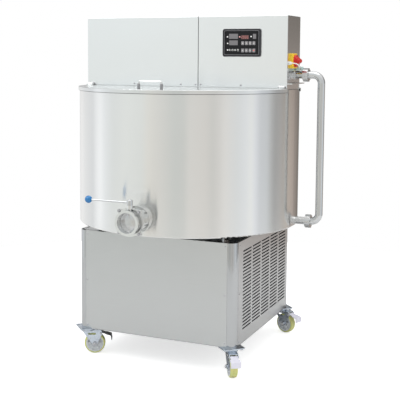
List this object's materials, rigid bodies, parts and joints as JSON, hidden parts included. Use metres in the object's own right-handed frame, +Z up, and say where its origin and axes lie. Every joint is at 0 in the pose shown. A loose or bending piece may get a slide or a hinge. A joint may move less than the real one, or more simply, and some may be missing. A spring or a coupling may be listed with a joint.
{
  "type": "liquid sourdough fermenter",
  "caption": "Cooled round stainless tank with anchor stirrer on a braked mobile cabinet, hinged half lid, bridge box with control panel, butterfly outlet valve and riser pipe",
  "frame": {"origin": "centre of the cabinet footprint on the floor", "axes": "+Z up, outlet valve and control panel face -Y, riser pipe on +X"},
  "size_m": [1.2075, 1.2309, 1.628],
  "materials": {
    "satin_steel": "satin brushed stainless sheet",
    "cabinet_steel": "fine brushed stainless sheet",
    "cover_steel": "bright satin stainless sheet",
    "pipe_steel": "polished stainless tube",
    "foam": "sprayed polyurethane foam",
    "copper_tube": "plain copper refrigerant tube",
    "seal_rubber": "food grade silicone",
    "motor_paint": "grey enamel",
    "bezel_plastic": "dark grey moulding",
    "panel_black": "black membrane",
    "key_grey": "grey key caps",
    "switch_yellow": "yellow moulding",
    "switch_red": "red moulding",
    "sensor_teal": "pale teal moulding",
    "cable_white": "white PVC sheath",
    "knob_blue": "blue ball",
    "zinc_plate": "bright zinc plating",
    "hub_plastic": "pale grey nylon",
    "tread_poly": "yellow-green polyurethane",
    "pedal_plastic": "pale lilac white nylon",
    "compressor_black": "black enamel",
    "fan_black": "black fan",
    "fin_aluminium": "plain fins"
  },
  "bodies": {
    "machine": {"cabinet_frame": "cabinet_steel", "front_panel": "cabinet_steel", "rear_panel": "cabinet_steel", "right_panel": "cabinet_steel", "left_panel": "cabinet_steel", "tank_jacket": "satin_steel", "tank_vessel": "satin_steel", "insulation": "foam", "cooling_coil": "copper_tube", "rear_cover": "satin_steel", "bridge_beam": "satin_steel", "lid_hinges": "satin_steel", "left_cover": "cover_steel", "control_cover": "cover_steel", "gear_motor": "motor_paint", "control_bezel": "bezel_plastic", "control_face": "panel_black", "switch_plate": "switch_yellow", "riser_pipe": "pipe_steel", "pipe_unions": "pipe_steel", "sensor_block": "sensor_teal", "cable_gland": "cable_white", "sensor_cable": "cable_white", "valve_body": "pipe_steel", "valve_neck": "pipe_steel", "caster_plates": "zinc_plate", "compressor": "compressor_black", "condenser": "fin_aluminium"},
    "lid": {"front_lid": "satin_steel", "lid_seal": "seal_rubber"},
    "stirrer": {"anchor_stirrer": "satin_steel"},
    "fan": {"condenser_fan": "fan_black"},
    "main_switch": {"switch_knob": "switch_red"},
    "outlet_lever": {"valve_disc": "satin_steel", "valve_handle": "pipe_steel", "handle_knob": "knob_blue"},
    "key_1_cap": {"key_1": "key_grey"},
    "key_2_cap": {"key_2": "key_grey"},
    "key_3_cap": {"key_3": "key_grey"},
    "key_4_cap": {"key_4": "key_grey"},
    "key_5_cap": {"key_5": "key_grey"},
    "key_6_cap": {"key_6": "key_grey"},
    "key_7_cap": {"key_7": "key_grey"},
    "key_8_cap": {"key_8": "key_grey"},
    "swivel_front_left": {"fork_front_left": "zinc_plate"},
    "wheel_front_left": {"hub_front_left": "hub_plastic", "tread_front_left": "tread_poly"},
    "brake_front_left": {"pedal_front_left": "pedal_plastic"},
    "swivel_front_right": {"fork_front_right": "zinc_plate"},
    "wheel_front_right": {"hub_front_right": "hub_plastic", "tread_front_right": "tread_poly"},
    "brake_front_right": {"pedal_front_right": "pedal_plastic"},
    "swivel_rear_right": {"fork_rear_right": "zinc_plate"},
    "wheel_rear_right": {"hub_rear_right": "hub_plastic", "tread_rear_right": "tread_poly"},
    "brake_rear_right": {"pedal_rear_right": "pedal_plastic"},
    "swivel_rear_left": {"fork_rear_left": "zinc_plate"},
    "wheel_rear_left": {"hub_rear_left": "hub_plastic", "tread_rear_left": "tread_poly"},
    "brake_rear_left": {"pedal_rear_left": "pedal_plastic"}
  },
  "joints": [
    {"name": "lid_hinge", "type": "hinge", "parent": "machine", "child": "lid", "pos_m": [0, -0.097, 1.297], "axis": [-1, 0, 0], "range_deg": [0, 80]},
    {"name": "stirrer_spin", "type": "hinge", "parent": "machine", "child": "stirrer", "pos_m": [0, 0, 1.1], "axis": [0, 0, 1], "continuous": true},
    {"name": "fan_spin", "type": "hinge", "parent": "machine", "child": "fan", "pos_m": [0.279, 0, 0.273], "axis": [1, 0, 0], "continuous": true},
    {"name": "switch_turn", "type": "hinge", "parent": "machine", "child": "main_switch", "pos_m": [0.5393, -0.003, 1.418], "axis": [1, 0, 0], "range_deg": [0, 90]},
    {"name": "outlet_turn", "type": "hinge", "parent": "machine", "child": "outlet_lever", "pos_m": [0, -0.65, 0.716], "axis": [0, 0, 1], "range_deg": [0, 90]},
    {"name": "key_1_press", "type": "slide", "parent": "machine", "child": "key_1_cap", "axis": [0, 1, 0], "range_m": [0, 0.0008], "stiffness_N_per_m": 400, "springref_m": -0.0005},
    {"name": "key_2_press", "type": "slide", "parent": "machine", "child": "key_2_cap", "axis": [0, 1, 0], "range_m": [0, 0.0008], "stiffness_N_per_m": 400, "springref_m": -0.0005},
    {"name": "key_3_press", "type": "slide", "parent": "machine", "child": "key_3_cap", "axis": [0, 1, 0], "range_m": [0, 0.0008], "stiffness_N_per_m": 400, "springref_m": -0.0005},
    {"name": "key_4_press", "type": "slide", "parent": "machine", "child": "key_4_cap", "axis": [0, 1, 0], "range_m": [0, 0.0008], "stiffness_N_per_m": 400, "springref_m": -0.0005},
    {"name": "key_5_press", "type": "slide", "parent": "machine", "child": "key_5_cap", "axis": [0, 1, 0], "range_m": [0, 0.0008], "stiffness_N_per_m": 400, "springref_m": -0.0005},
    {"name": "key_6_press", "type": "slide", "parent": "machine", "child": "key_6_cap", "axis": [0, 1, 0], "range_m": [0, 0.0008], "stiffness_N_per_m": 400, "springref_m": -0.0005},
    {"name": "key_7_press", "type": "slide", "parent": "machine", "child": "key_7_cap", "axis": [0, 1, 0], "range_m": [0, 0.0008], "stiffness_N_per_m": 400, "springref_m": -0.0005},
    {"name": "key_8_press", "type": "slide", "parent": "machine", "child": "key_8_cap", "axis": [0, 1, 0], "range_m": [0, 0.0008], "stiffness_N_per_m": 400, "springref_m": -0.0005},
    {"name": "swivel_front_left_turn", "type": "hinge", "parent": "machine", "child": "swivel_front_left", "pos_m": [-0.371, -0.371, 0.115], "axis": [0, 0, 1], "continuous": true},
    {"name": "wheel_front_left_spin", "type": "hinge", "parent": "swivel_front_left", "child": "wheel_front_left", "pos_m": [-0.33837, -0.35579, 0.05], "axis": [-0.4226, 0.9063, 0], "continuous": true},
    {"name": "brake_front_left_press", "type": "hinge", "parent": "swivel_front_left", "child": "brake_front_left", "pos_m": [-0.31209, -0.34353, 0.1], "axis": [-0.4226, 0.9063, 0], "range_deg": [0, 12]},
    {"name": "swivel_front_right_turn", "type": "hinge", "parent": "machine", "child": "swivel_front_right", "pos_m": [0.371, -0.371, 0.115], "axis": [0, 0, 1], "continuous": true},
    {"name": "wheel_front_right_spin", "type": "hinge", "parent": "swivel_front_right", "child": "wheel_front_right", "pos_m": [0.39061, -0.40119, 0.05], "axis": [0.8387, 0.5446, 0], "continuous": true},
    {"name": "brake_front_right_press", "type": "hinge", "parent": "swivel_front_right", "child": "brake_front_right", "pos_m": [0.4064, -0.42551, 0.1], "axis": [0.8387, 0.5446, 0], "range_deg": [0, 12]},
    {"name": "swivel_rear_right_turn", "type": "hinge", "parent": "machine", "child": "swivel_rear_right", "pos_m": [0.371, 0.371, 0.115], "axis": [0, 0, 1], "continuous": true},
    {"name": "wheel_rear_right_spin", "type": "hinge", "parent": "swivel_rear_right", "child": "wheel_rear_right", "pos_m": [0.40483, 0.35869, 0.05], "axis": [0.342, 0.9397, 0], "continuous": true},
    {"name": "brake_rear_right_press", "type": "hinge", "parent": "swivel_rear_right", "child": "brake_rear_right", "pos_m": [0.43208, 0.34877, 0.1], "axis": [0.342, 0.9397, 0], "range_deg": [0, 12]},
    {"name": "swivel_rear_left_turn", "type": "hinge", "parent": "machine", "child": "swivel_rear_left", "pos_m": [-0.371, 0.371, 0.115], "axis": [0, 0, 1], "continuous": true},
    {"name": "wheel_rear_left_spin", "type": "hinge", "parent": "swivel_rear_left", "child": "wheel_rear_left", "pos_m": [-0.40483, 0.38331, 0.05], "axis": [-0.342, -0.9397, 0], "continuous": true},
    {"name": "brake_rear_left_press", "type": "hinge", "parent": "swivel_rear_left", "child": "brake_rear_left", "pos_m": [-0.43208, 0.39323, 0.1], "axis": [-0.342, -0.9397, 0], "range_deg": [0, 12]}
  ]
}
